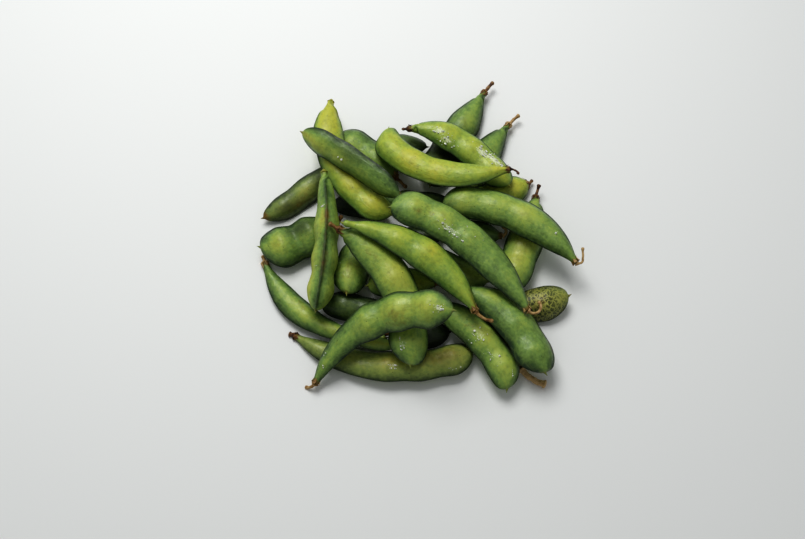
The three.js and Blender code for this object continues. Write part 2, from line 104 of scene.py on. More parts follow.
PODS = {
    # Its far end lies in a deep gap under the pods above: its dark mark there is painted shade.
    "pod_rear_right_inner": Look("leaf_green", 0.5, [
        ("ripe", 0.3, 0.1, 12, 3, 0.1), ("dark", 0.75, 0, 14, 9, 0.9),
    ]),
    "pod_rear_right_outer": Look("leaf_green", 0.48, [("ripe", 0.35, 0.2, 8, 3, 0.08)], tone=0.2),
    "pod_rear_left_flat": Look("leaf_green", 0.43, [("ripe", 0.6, 0.2, 9, 4, 0.1)], stalk=0.9),
    "pod_left_dark": Look("olive_green", 0.49, [
        ("ripe", 0.55, -0.2, 7, 2, 0.15), ("brown", 0.99, 0, 2, 3, 0.8), ("dark", 0.3, 0.3, 7, 3, 0.7),
        ("dark", 0.75, 0.1, 5, 3, 0.7), ("brown", 0.62, 0.4, 7, 2, 0.5),
    ], green_stalk=True),
    "pod_left_front": Look("leaf_green", 0.53, [
        ("ripe", 0.35, 0.2, 9, 3, 0.22), ("ripe", 0.75, 0.2, 10, 4, 0.22), ("brown", 0.4, 0.5, 5, 2, 0.3),
        ("brown", 0.55, 0.2, 9, 1.5, 0.22), ("ripe", 0.97, 0, 5, 3, 0.2),
    ], tone=0.28, stalk=0.9),
    "pod_left_round": Look("leaf_green", 0.42, [
        # The strong ripe mark over its round bean is partly yellowing and partly painted highlight.
        ("ripe", 0.8, -0.1, 5, 4, 0.36), ("dark", 0.45, -0.5, 7, 4, 0.7),
        ("brown", 0.6, 0.3, 14, 9, 0.14),
    ]),
    "pod_front_long": Look("olive_green", 0.63, [
        ("ripe", 0.83, 0.1, 6, 4, 0.3), ("ripe", 0.57, 0.1, 6, 3, 0.16),
        ("salt", 0.57, -0.2, 2.4, 1.2, 0.8), ("grain", 0.86, -0.8, 2.5, 1, 5),
        ("brown", 0.28, 0.1, 4, 2, 0.35), ("dark", 0.7, 0.2, 4, 3, 0.5), ("net", 0.88, 0.3, 8, 3, 0.3),
    ], stalk=1.15, tone=-0.08, sepals=4),
    "pod_right_small": Look("olive_green", 0.46, [
        ("net", 0.5, 0, 12, 9, 1), ("ripe", 0.93, 0.1, 3, 4, 0.4), ("brown", 0.5, 0.1, 4, 3, 0.4),
        ("grain", 0.2, 0.4, 4, 2, 4), ("dark", 0.3, -0.5, 6, 3, 0.6),
    ]),
    "pod_right_rear_under": Look("yellow_green", 0.8, stalk=0.8),
    "pod_right_under": Look("leaf_green", 0.68, [("ripe", 0.67, 0, 5, 4, 0.3)], tone=-0.1, stalk=0.85),
    "pod_front_right_under": Look("olive_green", 0.8, stalk=1.7, tone=0.34),
    # Those deep in the heap with a shade are darkened with painted shade, so that the gaps down to them look
    # deep.
    "pod_core_low": Look("dark_green", 0.38, shade=0.5, sepals=0),
    "pod_core_left": Look("leaf_green", 0.56, [
        ("ripe", 0.86, 0.1, 4, 3, 0.2), ("grain", 0.63, -0.75, 1, 0.6, 2), ("brown", 0.7, 0, 12, 8, 0.2),
    ]),
    "pod_core_front": Look("yellow_green", 0.62, sepals=0),
    "pod_core_middle": Look("leaf_green", 0.6, sepals=0),
    "pod_core_rear": Look("dark_green", 0.35, shade=0.2, sepals=0),
    "pod_core_dark": Look("dark_green", 0.1, shade=0.75, sepals=0),
    "pod_core_right": Look("dark_green", 0.5, sepals=0, tone=0.4, stalk=0.8),
    "pod_core_centre": Look("dark_green", 0.2, shade=0.6, sepals=0),
    "pod_core_small": Look("leaf_green", 0.65, sepals=0),
    "pod_core_back": Look("dark_green", 0.3, shade=0.4, sepals=0),
    "pod_core_corner": Look("dark_green", 0, shade=0.85, sepals=0),
    "pod_rear_left_yellow": Look("yellow_green", 0.77, [
        ("ripe", 0.12, 0, 13, 6, 0.5), ("ripe", 0.68, -0.2, 7, 4, 0.2), ("ripe", 0.93, -0.3, 6, 4, 0.08),
        ("brown", 0.1, 0.95, 8, 1, 0.5),
    ], green_stalk=True, tone=-0.1),
    "pod_left_on_edge": Look("leaf_green", 0.62, [
        ("brown", 0.375, 1, 4.4, 1, 0.66), ("brown", 0.7, 1, 5, 1.6, 0.3),
        ("brown", 0.5, 0.6, 25, 9, 0.2), ("ripe", 0.82, 0.4, 12, 2, 0.4),
        ("ripe", 0.37, 0.96, 6, 1.6, 0.6), ("grain", 0.29, 0.94, 0.6, 0.5, 3),
        ("grain", 0.71, 0.69, 1, 0.6, 2),
    ], green_stalk=True, seam=0.45),
    "pod_centre_left": Look("leaf_green", 0.73, [
        ("ripe", 0.4, 0.2, 7, 5, 0.2), ("ripe", 0.9, 0, 12, 8, -0.24), ("salt", 0.9, -0.5, 2.5, 1.2, 0.8),
        ("ripe", 0.12, 0, 8, 4, -0.12), ("brown", 0.28, -0.3, 7, 1.2, 0.3),
    ]),
    "pod_front_right_inner": Look("leaf_green", 0.6, [
        ("salt", 0.48, -0.2, 2.6, 1.8, 0.75), ("grain", 0.47, -0.8, 1, 0.8, 3),
        ("salt", 0.66, -0.4, 3, 1.2, 0.5), ("grain", 0.9, 0.32, 1, 0.8, 4),
        ("ripe", 0.55, 0.2, 10, 3, 0.14), ("brown", 0.35, -0.1, 4, 2, 0.25),
    ]),
    "pod_front_right_outer": Look("leaf_green", 0.4, [
        ("ripe", 0.22, 0.1, 8, 4, 0.28), ("ripe", 0.7, 0.9, 12, 2, 0.12),
        ("brown", 0.8, 0.95, 10, 1.5, 0.3),
    ]),
    "pod_rear_salted": Look("yellow_green", 0.66, [
        ("salt", 0.26, -0.2, 2.6, 1.6, 1), ("salt", 0.36, -0.6, 3, 1.4, 1),
        ("salt", 0.65, 0.1, 3.4, 1.6, 1), ("salt", 0.78, 0.35, 5, 1.8, 1.1),
        ("ripe", 0.9, 0.2, 8, 3, 0.12),
    ], stalk=0.6, tone=-0.16, sepals=3),
    "pod_left_crossing": Look("leaf_green", 0.55, [
        ("ripe", 0.93, -0.1, 6, 1.8, 0.45), ("brown", 0.97, -0.3, 3, 1.6, 0.35),
        ("dark", 0.55, -0.6, 9, 3, 0.45), ("grain", 0.61, 0.07, 1.4, 0.8, 4),
        ("ripe", 0.78, 0.5, 8, 2, 0.2),
    ]),
    "pod_centre": Look("yellow_green", 0.6, [
        ("ripe", 0.44, -0.2, 8, 4, 0.16), ("ripe", 0.85, 0.2, 10, 5, 0.14), ("ripe", 0.1, 0, 9, 4, 0.1),
        ("brown", 0.42, -0.7, 3, 2, 0.3), ("brown", 0.06, -0.6, 8, 1.4, 0.5),
    ], stalk=0.9, tone=0.1),
    "pod_right_top": Look("leaf_green", 0.55, [
        ("ripe", 0.45, -0.3, 9, 3.5, 0.2), ("ripe", 0.8, 0.1, 9, 5, 0.1),
        ("grain", 0.22, -0.24, 1, 0.7, 4), ("dark", 0.97, 0.4, 5, 4, 0.3),
    ], stalk=0.6, tone=0.26, sepals=4),
    "pod_top_centre": Look("leaf_green", 0.52, [
        ("ripe", 0.8, 0.1, 8, 5, 0.16), ("brown", 0.84, 0.38, 2, 1.4, 0.5),
        ("brown", 0.77, 0.19, 1.6, 1.4, 0.45), ("salt", 0.66, 0.48, 4, 1.4, 0.75),
        ("salt", 0.59, 0.5, 3, 1.4, 0.65), ("grain", 0.5, -0.2, 4, 2, 4),
        ("ripe", 0.95, 0.6, 5, 5, -0.15),
    ], stalk=0.75, tone=0.24, sepals=4),
    "pod_front_top": Look("leaf_green", 0.53, [
        ("ripe", 0.8, 0.3, 12, 6, 0.28), ("brown", 0.68, -0.15, 4.5, 2.2, 0.5),
        ("brown", 0.72, -0.7, 6, 1.4, 0.4), ("salt", 0.93, 0.07, 2.4, 1.4, 0.9),
        ("grain", 0.17, 0.53, 1, 0.7, 3), ("grain", 0.11, -0.13, 1, 0.7, 2),
    ], sepals=3, tone=0.2, stalk=0.85),
    "pod_top_rear": Look("yellow_green", 0.76, [
        ("ripe", 0.6, 0.3, 9, 6, 0.14), ("brown", 0.6, 0.32, 4, 2.4, 0.16),
        ("ripe", 0.05, 0.2, 9, 5, 0.22), ("ripe", 0.97, 0.5, 6, 5, -0.16),
        # The long ripe mark along its lower side is painted light: it lifts the side that lies in shade.
        ("ripe", 0.45, 0.95, 20, 3, 0.2),
    ], stalk=0.55, tone=-0.14, sepals=3),
}

# ---------------------------------------------------------------- reading a pod's solid


def solid_rings(solid):
    """The rings of a pod's solid in order from its stalk's end to its beak. Each end is a single point."""
    flat = np.zeros(len(solid.data.vertices) * 3)
    solid.data.vertices.foreach_get("co", flat)
    merged = np.round(flat.reshape(-1, 3) / MM, MERGE_DIGITS)
    points, which = np.unique(merged, axis=0, return_inverse=True)
    which = which.ravel()
    neighbours = [set() for _ in points]
    for edge in solid.data.edges:
        a, b = (int(which[v]) for v in edge.vertices)
        neighbours[a].add(b)
        neighbours[b].add(a)
    ring = {next(i for i, near in enumerate(neighbours) if len(near) == SOLID_SIDES)}
    rings, seen = [], set()
    while ring:
        rings.append(points[sorted(ring)])
        seen |= ring
        ring = set().union(*(neighbours[i] for i in ring)) - seen
    stalk_first = np.ptp(rings[2], axis=0).sum() < np.ptp(rings[-3], axis=0).sum()
    return rings if stalk_first else rings[::-1]


def widest_pair(ring):
    """The two points of a ring that lie farthest apart, which are the pod's seams."""
    apart = np.linalg.norm(ring[:, None] - ring[None], axis=2)
    i, j = divmod(int(apart.argmax()), len(ring))
    return ring[i], ring[j]


def unit(vectors):
    return vectors / np.linalg.norm(vectors, axis=-1, keepdims=True)


def distances(line):
    """How far each point of a line is from its first, along it."""
    return np.concatenate([[0], np.cumsum(np.linalg.norm(np.diff(line, axis=0), axis=1))])


def smooth(at, knots, values):
    """Values at the places `at`, on a smooth curve through the values at the knots."""
    values = np.asarray(values, float)
    slopes = np.gradient(values, knots, axis=0)
    k = np.clip(np.searchsorted(knots, at, side="right") - 1, 0, len(knots) - 2)
    span = knots[k + 1] - knots[k]
    t = (at - knots[k]) / span
    if values.ndim > 1:
        t, span = t[:, None], span[:, None]
    return (
        (2 * t**3 - 3 * t**2 + 1) * values[k]
        + (t**3 - 2 * t**2 + t) * span * slopes[k]
        + (3 * t**2 - 2 * t**3) * values[k + 1]
        + (t**3 - t**2) * span * slopes[k + 1]
    )


class Form:
    """A pod's solid, measured along its line: its middle, which way its left seam and its upper valve face,
    its half width from seam to seam and half of its thickness."""

    def __init__(self, solid):
        rings = solid_rings(solid)
        pairs = [widest_pair(ring) for ring in rings]
        middles = np.array([(a + b) / 2 for a, b in pairs])
        wide = [np.linalg.norm(a - b) > 2 * CALYX_AT_LEAST for a, b in pairs]
        calyx = wide.index(True, 2)             # the scar at the stalk's end, ring 1, may be as wide
        last = len(rings) - 3
        headings = unit(np.gradient(middles, axis=0))
        self.stalk = middles[: calyx + 1][::-1]
        self.length = distances(middles[calyx : last + 1])[-1] + LAST_RING
        lefts, ups, halves, thicks = [], [], [], []
        for k in range(calyx + 1, last + 1):
            a, b = pairs[k]
            left = unit(a - b)
            if left @ np.cross(UP, headings[k]) < 0:
                left = -left
            off = rings[k] - middles[k]
            rise = off - np.outer(off @ left, left)
            far = rise[np.linalg.norm(rise, axis=1).argmax()]
            up = unit(far)
            if np.cross(left, up) @ headings[k] < 0:
                up = -up
            half = np.linalg.norm(a - b) / 2
            lefts.append(left)
            ups.append(up)
            halves.append(half - SEAM_HEIGHT if half > SEAM_FADE else half / (1 + SEAM_HEIGHT / SEAM_FADE))
            thicks.append(np.linalg.norm(far))
        self.line = middles[calyx:]
        self.line_at = distances(self.line)
        self.reach = self.line_at[-1]
        self.at = np.concatenate([self.line_at[: last - calyx + 1], [self.length]])
        self.lefts = np.array([lefts[0], *lefts, lefts[-1]])
        self.ups = np.array([ups[0], *ups, ups[-1]])
        self.halves = np.array([NECK_RADIUS, *halves, 0])
        self.thicks = np.array([NECK_RADIUS, *thicks, 0])
        inner = self.thicks[1:-1]
        peaks = (inner > self.thicks[:-2]) & (inner >= self.thicks[2:])
        self.beans = self.at[1:-1][peaks & (inner > BEAN_AT_LEAST * inner.max())]

    def middle(self, at):
        return smooth(at, self.line_at, self.line)

    def across(self, at):
        """The directions of the left seam and of the upper valve, at right angles to each other."""
        within = np.clip(at, 0, self.length)
        left = unit(smooth(within, self.at, self.lefts))
        up = smooth(within, self.at, self.ups)
        up = unit(up - (up * left).sum(-1, keepdims=True) * left)
        return left, up

    def half(self, at):
        return np.sqrt(np.maximum(0, smooth(np.minimum(at, self.length), self.at, self.halves**2)))

    def thick(self, at):
        return np.sqrt(np.maximum(0, smooth(np.minimum(at, self.length), self.at, self.thicks**2)))

    def swell(self, at):
        """1 over the middle of a bean, falling to 0 away from it."""
        return np.exp(-(((at[:, None] - self.beans) / BEAN_SPREAD) ** 2)).max(1)


# ---------------------------------------------------------------- meshes


def loft(rings):
    """Points and faces of a closed skin through rings of points, with a point in the middle of each end."""
    count, sides = rings.shape[:2]
    points = np.concatenate([rings.reshape(-1, 3), [rings[0].mean(0), rings[-1].mean(0)]])
    start = count * sides
    end, last = start + 1, start - sides
    faces = []
    for i in range(sides):
        j = (i + 1) % sides
        for k in range(0, last, sides):
            faces.append((k + i, k + j, k + sides + j, k + sides + i))
        faces.append((start, j, i))
        faces.append((end, last + i, last + j))
    return points, faces


def with_ends(values):
    """A value for each point of a loft, from values for its rings' points: each end gets its ring's mean."""
    return np.concatenate([values.reshape((-1,) + values.shape[2:]), [values[0].mean(0), values[-1].mean(0)]])


def make_piece(name, shells, materials):
    """One mesh object of several shells: (points in mm, faces, index of the material, {field: values})."""
    points, faces, slots, fields = [], [], [], {}
    count = 0
    for shell_points, shell_faces, material, shell_fields in shells:
        points.append(shell_points)
        faces += [tuple(v + count for v in face) for face in shell_faces]
        slots += [material] * len(shell_faces)
        for label, values in shell_fields.items():
            fields.setdefault(label, []).append((count, values))
        count += len(shell_points)
    mesh = bpy.data.meshes.new(name)
    mesh.from_pydata(np.concatenate(points) * MM, [], faces)
    for material in materials:
        mesh.materials.append(material)
    mesh.polygons.foreach_set("material_index", slots)
    mesh.polygons.foreach_set("use_smooth", [True] * len(faces))
    for label, parts in fields.items():
        vector = parts[0][1].ndim > 1
        whole = np.zeros((count, 3) if vector else count)
        for first, values in parts:
            whole[first : first + len(values)] = values
        attribute = mesh.attributes.new(label, "FLOAT_VECTOR" if vector else "FLOAT", "POINT")
        attribute.data.foreach_set("vector" if vector else "value", whole.ravel().astype(np.float32))
    mesh.validate()
    piece = bpy.data.objects.new(name, mesh)
    bpy.context.scene.collection.objects.link(piece)
    return piece


NOISE_SHIFT = (17.3, 5.9, 11.1)    # takes each seed to a part of the noise of its own
PATTERN_SHIFT = 40.0               # takes each pod to a part of the materials' patterns of its own,
LOBE_SHIFT = 7.0                   # and each lobe of a calyx
SKIN, WITHERED = 0, 1              # which of a pod's two materials a shell has


def noise_at(points, size, seed):
    """Smooth noise from -1 to 1 whose bumps are about `size` apart."""
    shift = Vector([seed * far for far in NOISE_SHIFT])
    flat = points.reshape(-1, 3) / size
    return np.array([noise.noise(Vector(p) + shift) for p in flat]).reshape(points.shape[:-1])


# ---------------------------------------------------------------- the skin of a pod

BROAD_WAVE = (9.0, 0.2)       # size and height of the skin's unevenness,
FINE_WAVE = (2.6, 0.05)       # and of its small wrinkles,
WRINKLE_STRETCH = 0.5         # which are drawn out along the pod: below 1 is longer
WAVE_FADE = 3.0               # both fade out over the body's last stretch
NECK_FOLD = (7, 0.07)         # how many folds run along the neck, and their height
NECK_TWIST = 0.25             # how far they turn round it, in radians a millimetre
NECK_REACH = 14.0             # how far from the calyx they reach
RIDGE_WIDTH = 0.52            # how far a seam's ridge spreads to each side
GROOVE = (1.25, 0.5, 0.12)    # beside a seam: distance from it, width and depth
SEAM_SIDE = 0.7               # ridge and groove lie where the cosine of the angle from a seam is over this,
EDGE_SHADE_SIDE = 0.3             # and the painted edge shade where it is over this
EDGE_SHADE_REACH = 1.5                  # how far from a seam the painted edge shade reaches
STRETCH_AND_HIGHLIGHT_RIPER = 0.17             # how much yellower the skin is where a bean stretches it, and how much lighter the valves' crowns are as painted highlight, their sides darker as painted shade
DRY_NECK = 1.6                # how far the calyx's brown runs into the skin,
GREEN_NECK_DRYNESS = 0.3      # and how strong it is where the stalk is still green
DRY_BEAK = (0.6, 1.6, 0.42)   # brown beak: starts before the body's end, grows over, and is this strong


def perimeter():
    """Angles round a section, closest together at the two seams."""
    quarter = np.array(QUARTER)
    half = np.concatenate([quarter, [math.pi / 2], (math.pi - quarter)[::-1]])[:-1]
    return np.concatenate([half, half + math.pi])


def mark_weight(form, mark, points):
    """How strongly a mark colours each point: its full strength at its middle, and less round that."""
    _, u, v, long, wide, strength = mark
    at = np.array([u * form.length])
    left, up = form.across(at)
    if up[0] @ UP < 0:
        up = -up
    heading = np.cross(left[0], up[0])
    rise = math.sqrt(max(0, 1 - v * v))
    spot = form.middle(at)[0] + left[0] * form.half(at) * v + up[0] * form.thick(at) * rise
    off = points - spot
    along = off @ heading
    beside = np.linalg.norm(off - along[..., None] * heading, axis=-1)
    return strength * np.exp(-((along / long) ** 2) - (beside / wide) ** 2)


def pod_skin(form, seed, look):
    """The body's skin, from inside the calyx to the point of the beak, with what its material reads."""
    body = np.arange(0, form.length - ROUNDING, STEP)
    rounding = form.length - ROUNDING * (1 - np.linspace(0, 1, ROUNDING_RINGS)) ** 2
    beak = np.linspace(form.length, form.reach, BEAK_RINGS)[1:]
    at = np.concatenate([body, rounding, beak])
    angle = perimeter()

    into_beak = np.clip((at - form.length + BEAK_START) / BEAK_START, 0, 1)
    taper = np.clip((form.reach - at) / (form.reach - form.length), BEAK_TIP, 1)
    point = BEAK_RADIUS * into_beak * taper
    # The fourth powers let the beak grow smoothly out of the body's round end.
    half = (form.half(at) ** 4 + point**4) ** 0.25
    thick = (form.thick(at) ** 4 + point**4) ** 0.25
    swell = form.swell(at)
    left, up = form.across(at)
    cos, sin = np.cos(angle), np.sin(angle)
    lens = LENS + LENS_AT_BEAN * swell
    lift = np.sign(sin) * np.abs(sin) ** lens[:, None]
    aside = half[:, None] * cos
    rise = thick[:, None] * lift

    fade = np.clip(half / SEAM_FADE, 0, 1)[:, None] * (at < form.length)[:, None]
    near = np.abs(rise)
    seam = np.exp(-((near / RIDGE_WIDTH) ** 2)) * (np.abs(cos) > SEAM_SIDE)
    groove_at, groove_width, groove_depth = GROOVE
    groove = np.exp(-(((near - groove_at) / groove_width) ** 2)) * (np.abs(cos) > SEAM_SIDE)
    aside = aside + np.sign(cos) * fade * (SEAM_HEIGHT * seam - groove_depth * groove)

    middle = form.middle(at)
    points = middle[:, None] + left[:, None] * aside[..., None] + up[:, None] * rise[..., None]
    outward = left[:, None] * (cos / np.maximum(half, 1)[:, None])[..., None]
    outward = outward + up[:, None] * (lift / np.maximum(thick, 1)[:, None])[..., None]
    outward = unit(outward)

    lie = np.stack([np.broadcast_to(at[:, None], aside.shape), aside, rise], axis=-1)
    broad = noise_at(lie, BROAD_WAVE[0], seed) * BROAD_WAVE[1]
    fine = noise_at(lie * [WRINKLE_STRETCH, 1, 1], FINE_WAVE[0], seed + 0.5) * FINE_WAVE[1]
    folds, fold_height = NECK_FOLD
    neck = np.clip(1 - at / NECK_REACH, 0, 1)[:, None]
    fold = np.cos(folds * angle + NECK_TWIST * at[:, None] + seed) * fold_height * neck
    body_only = np.clip((form.length - at) / WAVE_FADE, 0, 1)[:, None]
    points = points + outward * ((broad + fine + fold) * body_only)[..., None]
    points[..., 2] = np.maximum(points[..., 2], 0)

    weights = {kind: np.zeros(aside.shape) for kind in ("ripe", "brown", "dark", "salt", "grain", "net")}
    for mark in look.marks:
        weights[mark[0]] += mark_weight(form, mark, points)
    upper = np.broadcast_to(np.abs(lift), aside.shape)
    # Painted shade towards the seams, where the valves turn away from the light.
    border = np.exp(-near / EDGE_SHADE_REACH) * (np.abs(cos) > EDGE_SHADE_SIDE)
    stalk_end = np.exp(-((at / DRY_NECK) ** 2))[:, None] * (GREEN_NECK_DRYNESS if look.green_stalk else 1)
    dry_from, dry_over, dryness = DRY_BEAK
    beak_end = np.clip((at - form.length + dry_from) / dry_over, 0, dryness)[:, None]
    fields = {
        "lie": lie + seed * PATTERN_SHIFT,
        # Ripe is higher on the valves' crowns and over the beans, lower towards the seams: partly yellowing
        # where a bean stretches the skin, partly painted highlight and painted shade.
        "ripe": look.ripe + STRETCH_AND_HIGHLIGHT_RIPER * (swell[:, None] * upper + upper - 1) + weights["ripe"],
        # Seam lines: partly the seams' own deeper green, partly painted outline shade.
        "seam": seam * fade * look.seam,
        "border": border * fade,
        "brown": weights["brown"],
        "salt": weights["salt"],
        "net": weights["net"],
        "dry": np.maximum(stalk_end, beak_end) + 0 * aside,
        # Painted shade for pods deep in the heap, with the dark marks, which are partly dull mottling and
        # partly painted shade.
        "shade": look.shade + weights["dark"],
    }
    fields = {name: with_ends(values) for name, values in fields.items()}
    return loft(points), fields, (points, outward)


# ---------------------------------------------------------------- stalk and calyx

STALK_SIDES = 14
STALK_STEP = 0.3
STALK_FEWEST_RINGS = 8
STALK_RADIUS = 0.68
STALK_RIBS = (5, 0.1)         # how many ribs run along it, and their height as a share of the radius
STALK_BENDS = (2.2, 0.2)      # size and height of its small bends,
STALK_LUMPS = (0.9, 0.2)      # and of its lumps, whose height is a share of the radius
KNOB_RADIUS = 0.98
KNOB_PLACE = (0.6, 0.55)      # the knob's distance from the broken end, and its width
SCAR = (0.25, 0.75)           # the broken end is worn over this length, to this share of the radius
CUP_RADIUS = 1.55
CUP_LENGTH = 0.7
GREEN_STALK_RIPER = 0.3       # a green stalk is yellower than its pod,
GREEN_STALK_DRYNESS = 0.5     # and half dry

SEPAL_SIDES = 8
SEPAL_RINGS = 8
SEPAL_LENGTH = (1.5, 2.8)
SEPAL_WIDTH = 0.55            # half of it, at the root
SEPAL_TAPER = 0.6             # below 1 keeps it broad until close to its tip
SEPAL_BELLY = 0.35            # how much broader it is halfway, as a share
SEPAL_POINT = 0.05            # what is left of the width at the tip
SEPAL_THICKNESS = 0.13        # half of it
SEPAL_EDGE = 0.1              # share of the thickness that is left at the tip
SEPAL_TURN = 0.2              # how far one may be out of its place round the neck, in shares of a lobe
SEPAL_LIFT = (0.05, 0.4)      # how far its tip stands off
SEPAL_GAP = 0.08              # between it and the skin
SEPAL_ROOT = (0.3, 0.8)       # how much higher it starts on the cup, and how far that reaches


def ribbed_tube(line, radii, seed):
    """Rings round a line, with ribs that run along it."""
    ribs, rib_height = STALK_RIBS
    heading = unit(np.gradient(line, axis=0))
    left = unit(np.cross(UP, heading))
    up = np.cross(heading, left)
    angle = np.arange(STALK_SIDES) * 2 * math.pi / STALK_SIDES
    ribbed = radii[:, None] * (1 + rib_height * np.cos(ribs * angle + seed))
    across = left[:, None] * np.cos(angle)[None, :, None] + up[:, None] * np.sin(angle)[None, :, None]
    return line[:, None] + across * ribbed[..., None]


def stalk_shell(form, seed, look):
    """The stalk, from inside the calyx to the scar where it broke off the plant."""
    knots = distances(form.stalk)
    length = knots[-1]
    at = np.linspace(0, length, max(STALK_FEWEST_RINGS, int(length / STALK_STEP)))
    line = smooth(at, knots, form.stalk)
    bend_size, bend_height = STALK_BENDS
    bends = np.stack([noise_at(line, bend_size, seed + k) for k in range(3)], -1)
    line = line + bend_height * bends * np.clip(at, 0, 1)[:, None]
    from_end = length - at
    knob_at, knob_width = KNOB_PLACE
    knob = (KNOB_RADIUS - STALK_RADIUS) * np.exp(-(((from_end - knob_at) / knob_width) ** 2))
    if look.green_stalk:
        knob = 0
    lump_size, lump_height = STALK_LUMPS
    radii = look.stalk * (STALK_RADIUS + knob) * (1 + lump_height * noise_at(line, lump_size, seed))
    scar_length, scar_share = SCAR
    radii = radii * np.where(from_end < scar_length, scar_share, 1)
    radii = radii + (CUP_RADIUS - STALK_RADIUS) * np.exp(-((at / CUP_LENGTH) ** 2))
    rings = ribbed_tube(line, radii, seed)
    around = rings - line[:, None]
    lie = np.stack([np.broadcast_to(at[:, None], rings.shape[:2]), around[..., 0], around[..., 1]], -1)
    rings[..., 2] = np.maximum(rings[..., 2], 0)
    fields = {"lie": lie + seed * PATTERN_SHIFT, "tone": np.full(rings.shape[:2], look.tone)}
    if look.green_stalk:
        fields["ripe"] = np.full(rings.shape[:2], look.ripe + GREEN_STALK_RIPER)
        fields["dry"] = np.full(rings.shape[:2], GREEN_STALK_DRYNESS)
    return loft(rings), {name: with_ends(values) for name, values in fields.items()}


def sepal_shells(form, seed, look, draw):
    """The calyx's withered lobes, which hug the neck and lift at their tips."""
    shells = []
    root_height, root_reach = SEPAL_ROOT
    for lobe in range(0 if look.green_stalk else look.sepals):
        turn = 2 * math.pi * (lobe + draw.uniform(-SEPAL_TURN, SEPAL_TURN)) / look.sepals + seed
        long = draw.uniform(*SEPAL_LENGTH)
        lifted = draw.uniform(*SEPAL_LIFT)
        t = np.linspace(0, 1, SEPAL_RINGS)
        at = t * long
        left, up = form.across(at)
        gap = SEPAL_GAP + root_height * np.exp(-((at / root_reach) ** 2)) + lifted * t**3
        out = left * math.cos(turn) * (form.half(at) + gap)[:, None]
        out = out + up * math.sin(turn) * (form.thick(at) + gap)[:, None]
        line = form.middle(at) + out
        outward = unit(out)
        heading = unit(np.gradient(line, axis=0))
        side = np.cross(outward, heading)
        wide = SEPAL_WIDTH * (1 - t) ** SEPAL_TAPER * (1 + SEPAL_BELLY * np.sin(math.pi * t)) + SEPAL_POINT
        angle = np.arange(SEPAL_SIDES) * 2 * math.pi / SEPAL_SIDES
        aside = wide[:, None] * np.cos(angle)
        flat = side[:, None] * aside[..., None]
        thick = SEPAL_THICKNESS * (1 + SEPAL_EDGE - t)
        deep = outward[:, None] * (thick[:, None] * np.sin(angle))[..., None]
        rings = line[:, None] + flat + deep
        rings[..., 2] = np.maximum(rings[..., 2], 0)
        lie = np.stack([np.broadcast_to(at[:, None], aside.shape), aside, np.zeros(aside.shape)], -1)
        lie = lie + seed * PATTERN_SHIFT + lobe * LOBE_SHIFT
        fields = {"lie": with_ends(lie), "tone": with_ends(np.full(aside.shape, float(look.tone)))}
        shells.append((*loft(rings), WITHERED, fields))
    return shells


# ---------------------------------------------------------------- salt

GRAIN_SIZE = (0.25, 0.85)
GRAIN_BREADTH = (0.6, 1.2)    # its least and greatest breadth,
GRAIN_DEPTH = (0.5, 1)        # and depth, as shares of its length
GRAIN_WORN = (0.65, 1)        # where a worn corner may lie between the middle and the sharp corner
GRAIN_RAISED = 0.25           # how high its middle is over the skin, as a share of its size
GRAINS_A_MM2 = 1.6            # on a salt mark at full strength
CLUSTER = (1.3, 0.05)         # how far apart clusters of grains lie, and how sparse they are: from -1 to 1


def grain(middle, outward, size, draw):
    """A worn cube of salt, sunk a little into the skin. Its eight corners are cut at random."""
    turn = np.array(Euler([draw.uniform(0, math.tau) for _ in range(3)]).to_matrix())
    corners = np.array([[x, y, z] for x in (-1, 1) for y in (-1, 1) for z in (-1, 1)], float)
    shape = size / 2 * np.array([1, draw.uniform(*GRAIN_BREADTH), draw.uniform(*GRAIN_DEPTH)])
    cut = np.array([draw.uniform(*GRAIN_WORN) for _ in range(8)])[:, None]
    points = (corners * cut * shape) @ turn.T + middle + outward * size * GRAIN_RAISED
    faces = [(0, 1, 3, 2), (4, 6, 7, 5), (0, 4, 5, 1), (2, 3, 7, 6), (0, 2, 6, 4), (1, 5, 7, 3)]
    return points, faces


def salt_shells(form, surface, look, seed, draw):
    """Grains in small clusters on the salt marks, and a few on each grain mark: these stand partly where the
    wet skin would glint, white specks as painted highlights.
    """
    points, outward = (part.reshape(-1, 3) for part in surface)
    clustered = noise_at(points, CLUSTER[0], seed + 0.25) > CLUSTER[1]
    shells = []
    for mark in look.marks:
        kind, _, _, long, wide, strength = mark
        if kind not in ("salt", "grain"):
            continue
        weight = mark_weight(form, mark, points) * (outward[:, 2] > 0)
        if kind == "salt":
            weight = weight * clustered
            count = int(GRAINS_A_MM2 * strength * math.pi * long * wide)
        else:
            count = int(strength)
        chance = np.cumsum(weight / weight.sum())
        for _ in range(count):
            k = min(int(np.searchsorted(chance, draw.random())), len(points) - 1)
            size = GRAIN_SIZE[0] + (GRAIN_SIZE[1] - GRAIN_SIZE[0]) * draw.random() ** 2
            shells.append((*grain(points[k], outward[k], size, draw), 0, {}))
    return shells


# ---------------------------------------------------------------- materials


def linear(hex_colour):
    """An sRGB hex colour as linear red, green, blue and alpha."""
    parts = [int(hex_colour[i : i + 2], 16) / 255 for i in (1, 3, 5)]
    return [p / 12.92 if p <= 0.04045 else ((p + 0.055) / 1.055) ** 2.4 for p in parts] + [1.0]


